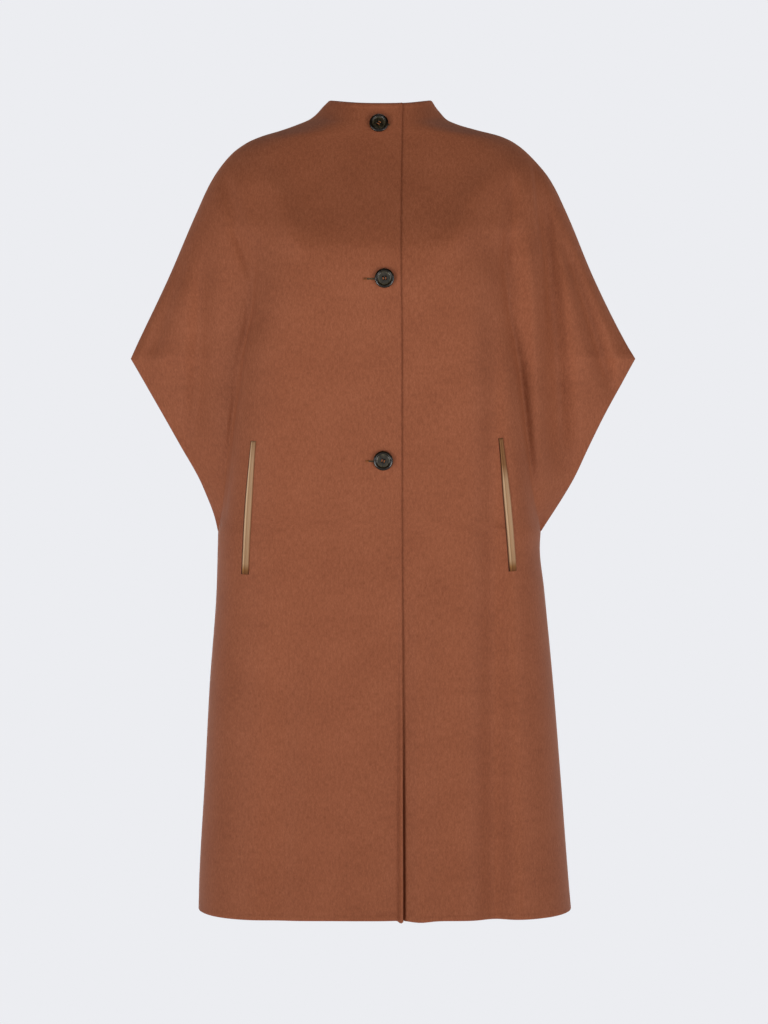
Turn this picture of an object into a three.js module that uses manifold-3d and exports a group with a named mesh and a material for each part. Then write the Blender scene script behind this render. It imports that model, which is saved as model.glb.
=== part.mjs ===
// Wool cape with a grown-on funnel neck, wide wings, slanted pockets and three front buttons.
// Millimetres, +Z up. The front faces -Y and the wearer's right side is at -X.
// The origin is the centre of the neck base, level with the line where the shoulders carry the cape.
import * as THREE from 'three';
import Module from 'manifold-3d';
import { mergeVertices } from 'three/addons/utils/BufferGeometryUtils.js';

const wasm = await Module();
wasm.setup();

// Cloth and seams
const CLOTH = 2;
const SEAM_GAP = 0.3;

// Heights of the garment's turning points
const COLLAR_TOP = 34;
const SHOULDER_FRONT = -44;
const WING_TIP = -300;
const UNDERARM = -525;
const HEM = -1012;

// Centre front: each front passes the centre line by LAP, the right one on top
const LAP = 25;
const LAP_SPACE = 0.8;
const LAP_EASE = 40;
const LAP_LEVEL = 8;
const COLLAR_DIP = 9;
const COLLAR_DIP_START = -40;
const EDGE_DROP = 3;
const EDGE_DROP_WIDTH = 12;
const EDGE_DROP_START = -940;

// Where the wing springs from the body the two forms run together over this depth, at the wing tip's
// level and at the underarm; it is reached at this height, and this far above the underarm
const CREASE_BLEND = 8;
const CREASE_END = 6;
const CREASE_BLEND_FULL = -100;
const CREASE_BLEND_RISE = 45;

// The wing's section turns from round to flat-sided towards its free edge, between these heights
const WING_ROUND_END = -200;
const WING_FLAT_START = -360;

// Half widths seen from the front: neck, shoulder and overarm seam down to the wing tip
const OVERARM = [
  { z: COLLAR_TOP, right: 69, left: 66 },
  { z: 26, right: 77, left: 71 },
  { z: 18, right: 84, left: 77.5 },
  { z: 10, right: 94, left: 85 },
  { z: 3, right: 110, left: 100 },
  { z: -5, right: 132, left: 127 },
  { z: -13, right: 158, left: 157 },
  { z: -21, right: 176, left: 173.5 },
  { z: -36, right: 196, left: 192 },
  { z: -68, right: 220, left: 219 },
  { z: -110, right: 240, left: 240 },
  { z: -196, right: 277, left: 276 },
  { z: -280, right: 317, left: 318 },
  { z: WING_TIP, right: 326, left: 330 },
];

// The free slanted edge of the wing, from its tip in to the underarm
const ARM_OPENING = [
  { z: WING_TIP, right: 326, left: 330 },
  { z: -332, right: 307, left: 312 },
  { z: -373, right: 283, left: 289 },
  { z: -415, right: 259, left: 268 },
  { z: -456, right: 236, left: 249 },
  { z: -477, right: 227, left: 237 },
  { z: -498, right: 219, left: 224 },
  { z: -512, right: 215, left: 215 },
  { z: UNDERARM, right: 212, left: 206.5 },
];

// The side seam, from the underarm to the hem
const SIDE_SEAM = [
  { z: UNDERARM, right: 212, left: 206.5 },
  { z: -545, right: 212.5, left: 205.5 },
  { z: -598, right: 214, left: 211 },
  { z: -723, right: 223, left: 223 },
  { z: -848, right: 229.5, left: 233 },
  { z: -972, right: 236.5, left: 242.5 },
  { z: HEM, right: 237.5, left: 246 },
];

// Half width of the body itself inside the wings
const BODY_WIDTH = [
  { z: SHOULDER_FRONT, right: 190, left: 186 },
  { z: -80, right: 215, left: 211 },
  { z: -122, right: 230, left: 224 },
  { z: -172, right: 198, left: 188 },
  { z: -205, right: 186, left: 180 },
  { z: -250, right: 186, left: 179 },
  { z: WING_TIP, right: 192, left: 184 },
  { z: -365, right: 198, left: 191 },
  { z: -430, right: 203, left: 196 },
  { z: -495, right: 207, left: 202.5 },
  { z: UNDERARM, right: 212, left: 206.5 },
];

// Depth of each section in front of and behind the side seams, for the body and for the wings.
// Square is the power of the oval: 2 is round, 6 is nearly flat with rounded sides.
const SECTIONS = [
  { z: COLLAR_TOP, front: 54.5, back: 62, wingFront: 54.5, wingBack: 62, bodySquare: 2.2, wingSquare: 2.2 },
  { z: 10, front: 61, back: 68, wingFront: 61, wingBack: 68, bodySquare: 2.2, wingSquare: 2.8 },
  { z: -5, front: 65, back: 74, wingFront: 65, wingBack: 74, bodySquare: 2.2, wingSquare: 4.2 },
  { z: -21, front: 69.5, back: 81, wingFront: 69.5, wingBack: 81, bodySquare: 2.4, wingSquare: 5 },
  { z: SHOULDER_FRONT, front: 78, back: 89, wingFront: 78.5, wingBack: 89, bodySquare: 2.6, wingSquare: 4.8 },
  { z: -80, front: 95, back: 98, wingFront: 94, wingBack: 94, bodySquare: 2.8, wingSquare: 4.2 },
  { z: -120, front: 114, back: 104, wingFront: 104, wingBack: 94, bodySquare: 3, wingSquare: 3.3 },
  { z: -150, front: 128, back: 107, wingFront: 108, wingBack: 93, bodySquare: 3.2, wingSquare: 2.8 },
  { z: -170, front: 134.5, back: 108, wingFront: 109, wingBack: 92, bodySquare: 3.5, wingSquare: 2.6 },
  { z: -205, front: 137.5, back: 108, wingFront: 109, wingBack: 90, bodySquare: 4.7, wingSquare: 2.3 },
  { z: -250, front: 137, back: 108, wingFront: 109, wingBack: 88, bodySquare: 5.8, wingSquare: 2.2 },
  { z: WING_TIP, front: 136, back: 108, wingFront: 108, wingBack: 84, bodySquare: 7, wingSquare: 2.2 },
  { z: -365, front: 134.5, back: 108, wingFront: 106, wingBack: 80, bodySquare: 7.6, wingSquare: 2.6 },
  { z: -430, front: 132.7, back: 108, wingFront: 100, wingBack: 74, bodySquare: 8, wingSquare: 3 },
  { z: -495, front: 131, back: 108, wingFront: 82, wingBack: 60, bodySquare: 8, wingSquare: 6 },
  { z: UNDERARM, front: 130.5, back: 109, wingFront: 0, wingBack: 0, bodySquare: 7.5, wingSquare: 8 },
  { z: HEM, front: 127, back: 114, wingFront: 0, wingBack: 0, bodySquare: 6, wingSquare: 8 },
];

// How far each layer of the wing stands from the seam plane along its free edge
const OPENING_DEPTH = [
  { z: WING_TIP, front: 0, back: 0 },
  { z: -312, front: 10, back: 11 },
  { z: -330, front: 17, back: 19 },
  { z: -360, front: 22, back: 25 },
  { z: -415, front: 23, back: 28 },
  { z: -470, front: 15, back: 19 },
  { z: -505, front: 6, back: 7 },
  { z: UNDERARM, front: 0, back: 0 },
];

// The largest soft folds, each a trough (negative height) or ridge down its panel from top to end,
// both [x, z], bowed sideways by bow. Width and height are given at the top and at the end, and
// fade is the length over which the fold runs out.
const FRONT_FOLDS = [
  { top: [201, -50], end: [226, -475], bow: 10, width: [8, 16], height: [-13, -22], fade: 90 },
  { top: [182, -110], end: [201, -500], bow: 5, width: [10, 12], height: [5, 7], fade: 80 },
  { top: [225, -120], end: [306, -365], bow: 0, width: [8, 13], height: [-10, -16], fade: 60 },
  { top: [-226, -140], end: [-242, -450], bow: 0, width: [13, 14], height: [-9, -10], fade: 90 },
  { top: [-248, -130], end: [-314, -335], bow: 0, width: [11, 13], height: [-9, -10], fade: 60 },
  { top: [-204, -50], end: [-166, -205], bow: -2, width: [10, 8], height: [-5, -5], fade: 40 },
  { top: [-146, -50], end: [-98, -195], bow: 0, width: [22, 18], height: [6, 6], fade: 50 },
  { top: [134, -50], end: [84, -195], bow: 0, width: [22, 18], height: [7, 7], fade: 50 },
  { top: [144, -200], end: [147, HEM], bow: 0, width: [18, 22], height: [-9, -15], fade: 90 },
  { top: [50, -560], end: [52, HEM], bow: 0, width: [14, 14], height: [4, 4], fade: 90 },
  { top: [-118, -640], end: [-132, HEM], bow: 0, width: [20, 20], height: [-4, -4], fade: 90 },
];
const BACK_FOLDS = [
  { top: [-96, -230], end: [-128, HEM], bow: 0, width: [20, 20], height: [-9, -9], fade: 90 },
  { top: [-20, -420], end: [-30, HEM], bow: 0, width: [24, 24], height: [6, 6], fade: 90 },
  { top: [78, -260], end: [98, HEM], bow: 0, width: [20, 20], height: [-8, -8], fade: 90 },
  { top: [214, -90], end: [226, -450], bow: 0, width: [14, 14], height: [-9, -12], fade: 90 },
  { top: [-216, -100], end: [-230, -460], bow: 0, width: [14, 14], height: [-9, -12], fade: 90 },
];
// Folds die away this far from a closed seam, and run out to a free edge
const FOLD_SEAM_EASE = 30;
const FREE_EDGE_TOP_EASE = 30;
const FREE_EDGE_END_EASE = 60;

// Buttons on the centre front, three alike; seat is the air between a button and the cloth it lies on
const BUTTON = {
  radius: 12.3, thickness: 4.2, rimWidth: 2.4, dishDepth: 1.3, baseRadius: 8.6,
  holeRadius: 1.1, holeSpacing: 4.4, holeCount: 4, sides: 32, seat: 0.35,
};
const BUTTONS = [
  { name: 'button_top', x: -3, z: -1 },
  { name: 'button_middle', x: 3, z: -204 },
  { name: 'button_lower', x: 2, z: -434 },
];

// Pocket welts, slanted strips that lean outwards as they go down
const WELT = { width: 8.5, thickness: 1.2, seat: 0.6, steps: 16 };
const WELTS = {
  right: { name: 'pocket_welt_right', topX: -161, topZ: -410, endX: -171.5, endZ: -578 },
  left: { name: 'pocket_welt_left', topX: 151, topZ: -406, endX: 166.5, endZ: -574 },
};

// Grid of each panel: rows in each stretch from the collar to the hem, and columns across
const ROW_STRETCHES = [
  { from: COLLAR_TOP, to: 3, rows: 3 },
  { from: 3, to: -21, rows: 3 },
  { from: -21, to: -110, rows: 5 },
  { from: -110, to: WING_TIP, rows: 7 },
  { from: WING_TIP, to: UNDERARM, rows: 8 },
  { from: UNDERARM, to: HEM, rows: 5 },
];
const FRONT_COLUMNS = 30;
const BACK_COLUMNS = 42;
const TRACE_STEPS = 400;
const RAY_START = -1000;
// Columns stand closer together by this factor within this distance of the body's side
const CREASE_CLOSER = 2.2;
const CREASE_ZONE = 42;

const WOOL = { color: 0x8b533b, roughness: 0.92, metalness: 0 };
const TAN = { color: 0xa98258, roughness: 0.62, metalness: 0 };
const HORN = { color: 0x241914, roughness: 0.28, metalness: 0 };

// A smooth curve through one column of a table, never past the values of its rows.
// The slope at a row is the harmonic mean of the slopes beside it.
function columnCurve(rows, column) {
  const at = rows.map((row) => -row.z);
  const value = rows.map((row) => row[column]);
  const rise = at.slice(1).map((next, i) => (value[i + 1] - value[i]) / (next - at[i]));
  const slope = value.map((_, i) => {
    if (i === 0) return rise[0];
    if (i === rise.length) return rise[i - 1];
    if (rise[i - 1] * rise[i] <= 0) return 0;
    return (2 * rise[i - 1] * rise[i]) / (rise[i - 1] + rise[i]);
  });
  return (z) => {
    const place = THREE.MathUtils.clamp(-z, at[0], at[at.length - 1]);
    let i = 0;
    while (i < rise.length - 1 && place > at[i + 1]) i += 1;
    const span = at[i + 1] - at[i];
    const t = (place - at[i]) / span;
    const ease = t * t * (3 - 2 * t);
    const bend = t * (1 - t) * (slope[i] * (1 - t) - slope[i + 1] * t);
    return value[i] + (value[i + 1] - value[i]) * ease + span * bend;
  };
}

function sideCurves(rows) {
  return { right: columnCurve(rows, 'right'), left: columnCurve(rows, 'left') };
}

const overarm = sideCurves(OVERARM);
const armOpening = sideCurves(ARM_OPENING);
const sideSeam = sideCurves(SIDE_SEAM);
const bodyWidth = sideCurves(BODY_WIDTH);
const FACES = {
  front: {
    sign: -1,
    body: columnCurve(SECTIONS, 'front'),
    wing: columnCurve(SECTIONS, 'wingFront'),
    opening: columnCurve(OPENING_DEPTH, 'front'),
    folds: FRONT_FOLDS,
  },
  back: {
    sign: 1,
    body: columnCurve(SECTIONS, 'back'),
    wing: columnCurve(SECTIONS, 'wingBack'),
    opening: columnCurve(OPENING_DEPTH, 'back'),
    folds: BACK_FOLDS,
  },
};
const bodySquare = columnCurve(SECTIONS, 'bodySquare');
const wingSquare = columnCurve(SECTIONS, 'wingSquare');

// 0 at from, 1 at to, with a soft start and end, whichever of the two is larger
function ease(value, from, to) {
  const t = THREE.MathUtils.clamp((value - from) / (to - from), 0, 1);
  return t * t * (3 - 2 * t);
}

// Half width of the whole garment at a height
function reachAt(side, z) {
  if (z >= WING_TIP) return overarm[side](z);
  if (z >= UNDERARM) return armOpening[side](z);
  return sideSeam[side](z);
}

// The larger of two depths, rounded over where they are within blend of each other
function softLarger(a, b, blend) {
  if (blend <= 0) return Math.max(a, b);
  const near = Math.max(blend - Math.abs(a - b), 0) / blend;
  return Math.max(a, b) + (near * near * blend) / 4;
}

// Depth of a face from the seam plane before folds: the larger of the body's oval and the wing's
function formDepth(faceName, x, z) {
  const face = FACES[faceName];
  const side = x < 0 ? 'right' : 'left';
  const reach = reachAt(side, z);
  const across = Math.min(Math.abs(x) / reach, 1);
  if (z <= UNDERARM) {
    return face.body(z) * Math.sqrt(1 - across ** bodySquare(z));
  }
  const opening = z < WING_TIP ? face.opening(z) : 0;
  const closing = 0.5 + 0.5 * ease(z, WING_ROUND_END, WING_FLAT_START);
  const wingAt = (share) => opening
    + Math.max(face.wing(z) - opening, 0) * (1 - share ** wingSquare(z)) ** closing;
  if (z > SHOULDER_FRONT) return wingAt(across);
  const width = bodyWidth[side](z);
  const inBody = Math.min(Math.abs(x) / width, 1);
  const body = face.body(z) * Math.sqrt(1 - inBody ** bodySquare(z));
  const fullBlend = THREE.MathUtils.lerp(CREASE_END, CREASE_BLEND, ease(z, UNDERARM, WING_TIP));
  const begun = ease(z, SHOULDER_FRONT, CREASE_BLEND_FULL);
  const blend = fullBlend * begun * ease(z, UNDERARM, UNDERARM + CREASE_BLEND_RISE);
  const nearEdge = ease(Math.abs(x), reach, width);
  const depth = softLarger(body, wingAt(across), blend * nearEdge);
  const centre = softLarger(face.body(z), face.wing(z), blend);
  return (depth * face.body(z)) / centre;
}

// Height of one fold at a point: a bell across its bowed line, eased in and out along it
function oneFold({ top, end, bow, width, height, fade }, x, z) {
  const along = THREE.MathUtils.clamp((z - top[1]) / (end[1] - top[1]), 0, 1);
  const centre = THREE.MathUtils.lerp(top[0], end[0], along) + bow * 4 * along * (1 - along);
  const away = (x - centre) / THREE.MathUtils.lerp(...width, along);
  const start = ease(z, top[1], top[1] - fade);
  const finish = end[1] <= HEM ? 1 : ease(z, end[1], end[1] + fade);
  return THREE.MathUtils.lerp(...height, along) * Math.exp(-away * away) * start * finish;
}

// Sum of the folds of a face at a point, dying away at the closed seams
function foldHeight(faceName, x, z) {
  const reach = reachAt(x < 0 ? 'right' : 'left', z);
  const closed = Math.max(
    ease(z, WING_TIP - FREE_EDGE_TOP_EASE, WING_TIP),
    ease(z, UNDERARM + FREE_EDGE_END_EASE, UNDERARM),
  );
  const room = 1 - closed * (1 - ease(Math.abs(x), reach, reach - FOLD_SEAM_EASE));
  return room * FACES[faceName].folds.reduce((sum, fold) => sum + oneFold(fold, x, z), 0);
}

// Where the fronts lap, the over one is raised and the under one sunk by half the room they need
function lapRise(lap, x) {
  const half = (CLOTH + LAP_SPACE) / 2;
  if (lap === 'over') return half * ease(x, -LAP - LAP_EASE, -LAP - LAP_LEVEL);
  if (lap === 'under') return -half * ease(x, LAP + LAP_EASE, LAP + LAP_LEVEL);
  return 0;
}

// A point of a panel's outer side, for a place across and a height in the pattern
function outerPoint(panel, x, z) {
  const face = FACES[panel.face];
  const form = formDepth(panel.face, x, z);
  const depth = form + foldHeight(panel.face, x, z) + lapRise(panel.lap, x) + SEAM_GAP / 2;
  let height = z;
  if (panel.face === 'front') {
    const frontShare = form / face.body(z);
    height -= COLLAR_DIP * ease(z, COLLAR_DIP_START, COLLAR_TOP) * frontShare ** 2;
  }
  if (panel.lap === 'over') {
    const toEdge = (x - LAP) / EDGE_DROP_WIDTH;
    height -= EDGE_DROP * ease(z, EDGE_DROP_START, HEM) * Math.exp(-toEdge * toEdge);
  }
  return new THREE.Vector3(x, face.sign * depth, height);
}

// How much closer together the columns stand at a place, most of all along the crease beside the body
function closeness(x, z) {
  const side = x < 0 ? 'right' : 'left';
  const width = z > UNDERARM ? bodyWidth[side](z) : reachAt(side, z);
  const away = (Math.abs(x) - width) / CREASE_ZONE;
  return 1 + (CREASE_CLOSER - 1) * Math.exp(-away * away);
}

// Places across one row, from one edge of the panel to the other, at equal lengths along the cloth
// but for the closer columns beside the body
function rowPlaces(panel, z, columns) {
  const start = panel.fromX === undefined ? -Math.PI / 2 : Math.asin(panel.fromX / reachAt('right', z));
  const end = panel.toX === undefined ? Math.PI / 2 : Math.asin(panel.toX / reachAt('left', z));
  const trace = Array.from({ length: TRACE_STEPS + 1 }, (_, i) => {
    const turn = Math.sin(start + ((end - start) * i) / TRACE_STEPS);
    return turn * reachAt(turn < 0 ? 'right' : 'left', z);
  });
  const points = trace.map((x) => outerPoint(panel, x, z));
  const length = [0];
  points.slice(1).forEach((point, i) => {
    length.push(length[i] + point.distanceTo(points[i]) * closeness(trace[i], z));
  });
  const total = length[TRACE_STEPS];
  return Array.from({ length: columns + 1 }, (_, c) => {
    const goal = (total * c) / columns;
    let i = 0;
    while (i < TRACE_STEPS - 1 && length[i + 1] < goal) i += 1;
    const share = (goal - length[i]) / (length[i + 1] - length[i]);
    return trace[i] + (trace[i + 1] - trace[i]) * Math.min(share, 1);
  });
}

function rowHeights() {
  const heights = [COLLAR_TOP];
  ROW_STRETCHES.forEach(({ from, to, rows }) => {
    for (let i = 1; i <= rows; i += 1) heights.push(from + ((to - from) * i) / rows);
  });
  return heights;
}

// Outward direction at a grid point, from its neighbours; level with the seam plane on a closed seam
function gridNormal(grid, row, column, sign, closedSeam) {
  const up = grid[Math.max(row - 1, 0)][column];
  const down = grid[Math.min(row + 1, grid.length - 1)][column];
  const before = grid[row][Math.max(column - 1, 0)];
  const after = grid[row][Math.min(column + 1, grid[row].length - 1)];
  const normal = down.clone().sub(up).cross(after.clone().sub(before)).multiplyScalar(-sign);
  if (closedSeam) normal.y = 0;
  return normal.normalize();
}

// A closed solid between an outer and an inner grid of points of the same size
function solidBetween(outer, inner, outwardSign) {
  const rows = outer.length;
  const columns = outer[0].length;
  const points = [...outer.flat(), ...inner.flat()];
  const place = (row, column, within) => (within ? rows * columns : 0) + row * columns + column;
  const triangles = [];
  const quad = (a, b, c, d) => {
    if (outwardSign < 0) triangles.push(a, b, c, a, c, d);
    else triangles.push(a, c, b, a, d, c);
  };
  for (let r = 0; r + 1 < rows; r += 1) {
    for (let c = 0; c + 1 < columns; c += 1) {
      quad(place(r, c), place(r + 1, c), place(r + 1, c + 1), place(r, c + 1));
      quad(place(r, c, true), place(r, c + 1, true), place(r + 1, c + 1, true), place(r + 1, c, true));
    }
    const last = columns - 1;
    quad(place(r, 0), place(r, 0, true), place(r + 1, 0, true), place(r + 1, 0));
    quad(place(r, last), place(r + 1, last), place(r + 1, last, true), place(r, last, true));
  }
  for (let c = 0; c + 1 < columns; c += 1) {
    const last = rows - 1;
    quad(place(0, c), place(0, c + 1), place(0, c + 1, true), place(0, c, true));
    quad(place(last, c), place(last, c, true), place(last, c + 1, true), place(last, c + 1));
  }
  const geometry = new THREE.BufferGeometry();
  geometry.setAttribute('position', new THREE.Float32BufferAttribute(points.flatMap((p) => p.toArray()), 3));
  geometry.setIndex(triangles);
  geometry.computeVertexNormals();
  return geometry;
}

function clothMesh(name, geometry, finish) {
  const mesh = new THREE.Mesh(geometry, new THREE.MeshStandardMaterial({ side: THREE.DoubleSide, ...finish }));
  mesh.name = name;
  return mesh;
}

// One panel of cloth: its outer points row by row, and the same points moved in by the cloth's thickness
function makePanel(panel, columns) {
  const { sign } = FACES[panel.face];
  const heights = rowHeights();
  const outer = heights.map((z) => rowPlaces(panel, z, columns).map((x) => outerPoint(panel, x, z)));
  const inner = outer.map((line, r) => line.map((point, c) => {
    const atRight = c === 0 && panel.fromX === undefined;
    const atLeft = c === columns && panel.toX === undefined;
    const closed = heights[r] >= WING_TIP || heights[r] <= UNDERARM;
    const normal = gridNormal(outer, r, c, sign, (atRight || atLeft) && closed);
    return point.clone().addScaledVector(normal, -CLOTH);
  }));
  return clothMesh(panel.name, solidBetween(outer, inner, sign), WOOL);
}

// The point and the outward direction of a panel's solid straight behind a place on the front
function spotOn(panelMesh, x, z) {
  const ray = new THREE.Raycaster(new THREE.Vector3(x, RAY_START, z), new THREE.Vector3(0, 1, 0));
  const [hit] = ray.intersectObject(panelMesh);
  return { point: hit.point, normal: hit.face.normal.clone() };
}

// A strip that follows its panel, from the panel's points moved out
function makeWelt(panelMesh, welt) {
  const lean = new THREE.Vector2(welt.endX - welt.topX, welt.endZ - welt.topZ).normalize();
  const raised = (out) => Array.from({ length: WELT.steps + 1 }, (_, r) => {
    const along = r / WELT.steps;
    return [-1, -0.5, 0, 0.5, 1].map((edge) => {
      const off = (edge * WELT.width) / 2;
      const x = welt.topX + (welt.endX - welt.topX) * along - lean.y * off;
      const z = welt.topZ + (welt.endZ - welt.topZ) * along + lean.x * off;
      return spotOn(panelMesh, x, z).point.add(new THREE.Vector3(0, -out, 0));
    });
  });
  return clothMesh(welt.name, solidBetween(raised(WELT.seat + WELT.thickness), raised(WELT.seat), -1), TAN);
}

// A closed geometry as a manifold solid, and back
function toSolid(geometry) {
  const bare = geometry.clone();
  bare.deleteAttribute('normal');
  bare.deleteAttribute('uv');
  const merged = mergeVertices(bare, 1e-4);
  const index = Array.from(merged.index.array);
  const kept = [];
  for (let i = 0; i < index.length; i += 3) {
    const [a, b, c] = index.slice(i, i + 3);
    if (a !== b && b !== c && c !== a) kept.push(a, b, c);
  }
  const vertProperties = new Float32Array(merged.attributes.position.array);
  return new wasm.Manifold(new wasm.Mesh({ numProp: 3, vertProperties, triVerts: new Uint32Array(kept) }));
}

function toGeometry(solid) {
  const mesh = solid.getMesh();
  const geometry = new THREE.BufferGeometry();
  geometry.setAttribute('position', new THREE.BufferAttribute(mesh.vertProperties, 3));
  geometry.setIndex(new THREE.BufferAttribute(mesh.triVerts, 1));
  geometry.computeVertexNormals();
  return geometry;
}

// A turned disc with a raised rim and a dished middle, pierced by four holes; its axis is +Y
function buttonGeometry() {
  const { radius, thickness, rimWidth, dishDepth, baseRadius, sides } = BUTTON;
  const rimInside = radius - rimWidth;
  const profile = [
    [0, 0], [baseRadius, 0], [radius - 0.5, 1.3], [radius, 2.2], [radius - 0.5, thickness - 0.5],
    [radius - 1.2, thickness], [rimInside, thickness - 0.3], [rimInside - 1.2, thickness - dishDepth],
    [0, thickness - dishDepth - 0.1],
  ].map(([r, y]) => new THREE.Vector2(r, y));
  let solid = toSolid(new THREE.LatheGeometry(profile, sides));
  for (let i = 0; i < BUTTON.holeCount; i += 1) {
    const turn = (Math.PI / 2) * i + Math.PI / 4;
    const hole = new THREE.CylinderGeometry(BUTTON.holeRadius, BUTTON.holeRadius, thickness * 3, 8);
    const out = BUTTON.holeSpacing / Math.SQRT2;
    hole.translate(out * Math.cos(turn), 0, out * Math.sin(turn));
    solid = solid.subtract(toSolid(hole));
  }
  return toGeometry(solid);
}

// A button lies on its panel along the mean slope under it, clear of the highest point it covers
function makeButton(panelMesh, place, geometry) {
  const middle = spotOn(panelMesh, place.x, place.z);
  const rim = Array.from({ length: BUTTON.sides }, (_, i) => {
    const turn = (2 * Math.PI * i) / BUTTON.sides;
    const x = place.x + BUTTON.baseRadius * Math.cos(turn);
    return spotOn(panelMesh, x, place.z + BUTTON.baseRadius * Math.sin(turn));
  });
  const normal = rim.reduce((sum, spot) => sum.add(spot.normal), middle.normal.clone()).normalize();
  const lift = Math.max(0, ...rim.map((spot) => spot.point.clone().sub(middle.point).dot(normal)));
  const button = new THREE.Mesh(geometry, new THREE.MeshStandardMaterial(HORN));
  button.name = place.name;
  button.position.copy(middle.point).addScaledVector(normal, lift + BUTTON.seat);
  button.quaternion.setFromUnitVectors(new THREE.Vector3(0, 1, 0), normal);
  return button;
}

const FRONT_RIGHT = { name: 'front_right', face: 'front', lap: 'over', toX: LAP };
const FRONT_LEFT = { name: 'front_left', face: 'front', lap: 'under', fromX: -LAP };
const BACK = { name: 'back', face: 'back' };

const rightFront = makePanel(FRONT_RIGHT, FRONT_COLUMNS);
const leftFront = makePanel(FRONT_LEFT, FRONT_COLUMNS);
const cape = new THREE.Group();
cape.add(rightFront, leftFront, makePanel(BACK, BACK_COLUMNS));
cape.add(makeWelt(rightFront, WELTS.right), makeWelt(leftFront, WELTS.left));
const disc = buttonGeometry();
BUTTONS.forEach((place) => cape.add(makeButton(rightFront, place, disc)));

export default cape;
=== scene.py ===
"""Wool cape with a grown-on funnel neck, wide wings, slanted pockets and three buttons.

Shapes are worked out in millimetres in the part's own frame (+Z up, front towards -Y, the
wearer's right at -X, origin at the centre of the neck base) and put into meshes in metres.
"""
from dataclasses import dataclass
from enum import Enum
import logging
import math
from typing import Callable, Sequence

import bpy
import numpy as np
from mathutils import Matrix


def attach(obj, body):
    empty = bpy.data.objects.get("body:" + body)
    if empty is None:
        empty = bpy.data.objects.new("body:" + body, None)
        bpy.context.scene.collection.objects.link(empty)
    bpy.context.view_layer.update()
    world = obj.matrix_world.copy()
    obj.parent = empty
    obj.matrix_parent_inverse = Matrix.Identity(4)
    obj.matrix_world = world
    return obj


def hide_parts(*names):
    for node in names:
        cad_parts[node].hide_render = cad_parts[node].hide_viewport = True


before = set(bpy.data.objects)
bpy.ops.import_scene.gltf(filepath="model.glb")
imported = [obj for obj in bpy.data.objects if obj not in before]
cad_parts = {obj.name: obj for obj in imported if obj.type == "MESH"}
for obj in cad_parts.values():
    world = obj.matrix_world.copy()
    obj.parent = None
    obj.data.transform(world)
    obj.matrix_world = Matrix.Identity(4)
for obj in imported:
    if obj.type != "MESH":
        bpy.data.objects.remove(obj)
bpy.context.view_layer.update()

log = logging.getLogger("cape")

MM = 0.001
CLOTH = 2.0
SEAM_GAP = 0.04
COLLAR_TOP = 34.0
SHOULDER_FRONT = -44.0
WING_TIP = -300.0
UNDERARM = -525.0
HEM = -1012.0
LAP = 25.0

Array = np.ndarray
Curve = Callable[[Array], Array]


class Face(Enum):
    """The two faces of the garment; the value is the sign of their outward Y."""

    FRONT = -1.0
    BACK = 1.0


class Lap(Enum):
    """How a panel lies at the centre front."""

    OVER = "over"
    UNDER = "under"
    NONE = "none"


def ease(value: Array, start: float | Array, end: float | Array) -> Array:
    """Soft step: 0 at start, 1 at end, by t squared times (3 - 2t).

    Args:
        value: where the step is read.
        start: the value where it is 0.
        end: the value where it is 1, larger or smaller than start.

    Returns:
        The step, from 0 to 1.
    """
    span = np.where(np.abs(np.subtract(end, start)) < 1e-9, 1e-9, np.subtract(end, start))
    t = np.clip((value - start) / span, 0.0, 1.0)
    return t * t * (3.0 - 2.0 * t)


def bell(value: Array, centre: float | Array, width: float) -> Array:
    """Gaussian bump of height 1: e to the minus square of (value - centre) over width."""
    away = (value - centre) / width
    return np.exp(-away * away)


def steady_curve(heights: Sequence[float], values: Sequence[float]) -> Curve:
    """Smooth curve through a column of a table, never past the values of its rows.

    Each stretch is a cubic whose slope at a row is the harmonic mean of the slopes beside it.

    Args:
        heights: the rows' heights, from the top down.
        values: the column's value in each row.

    Returns:
        A function of height that works on whole arrays.
    """
    at = -np.asarray(heights, dtype=float)
    value = np.asarray(values, dtype=float)
    rise = np.diff(value) / np.diff(at)
    slope = np.empty_like(value)
    slope[0], slope[-1] = rise[0], rise[-1]
    product = rise[:-1] * rise[1:]
    total = np.where(np.abs(rise[:-1] + rise[1:]) < 1e-12, 1.0, rise[:-1] + rise[1:])
    slope[1:-1] = np.where(product > 0.0, 2.0 * product / total, 0.0)

    def curve(z: Array) -> Array:
        """The column's value at a height."""
        place = np.clip(-np.asarray(z, dtype=float), at[0], at[-1])
        i = np.clip(np.searchsorted(at, place, side="right") - 1, 0, len(rise) - 1)
        span = at[i + 1] - at[i]
        t = (place - at[i]) / span
        step = t * t * (3.0 - 2.0 * t)
        bend = t * (1.0 - t) * (slope[i] * (1.0 - t) - slope[i + 1] * t)
        return value[i] + (value[i + 1] - value[i]) * step + span * bend

    return curve


@dataclass(frozen=True)
class SideTable:
    """Half widths of the garment's two sides at a few heights."""

    z: tuple[float, ...]
    right: tuple[float, ...]
    left: tuple[float, ...]

    def read(self, x: Array, z: Array) -> Array:
        """The half width on the side where x lies, at height z."""
        right = steady_curve(self.z, self.right)(z)
        left = steady_curve(self.z, self.left)(z)
        return np.where(x < 0.0, right, left)


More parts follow.
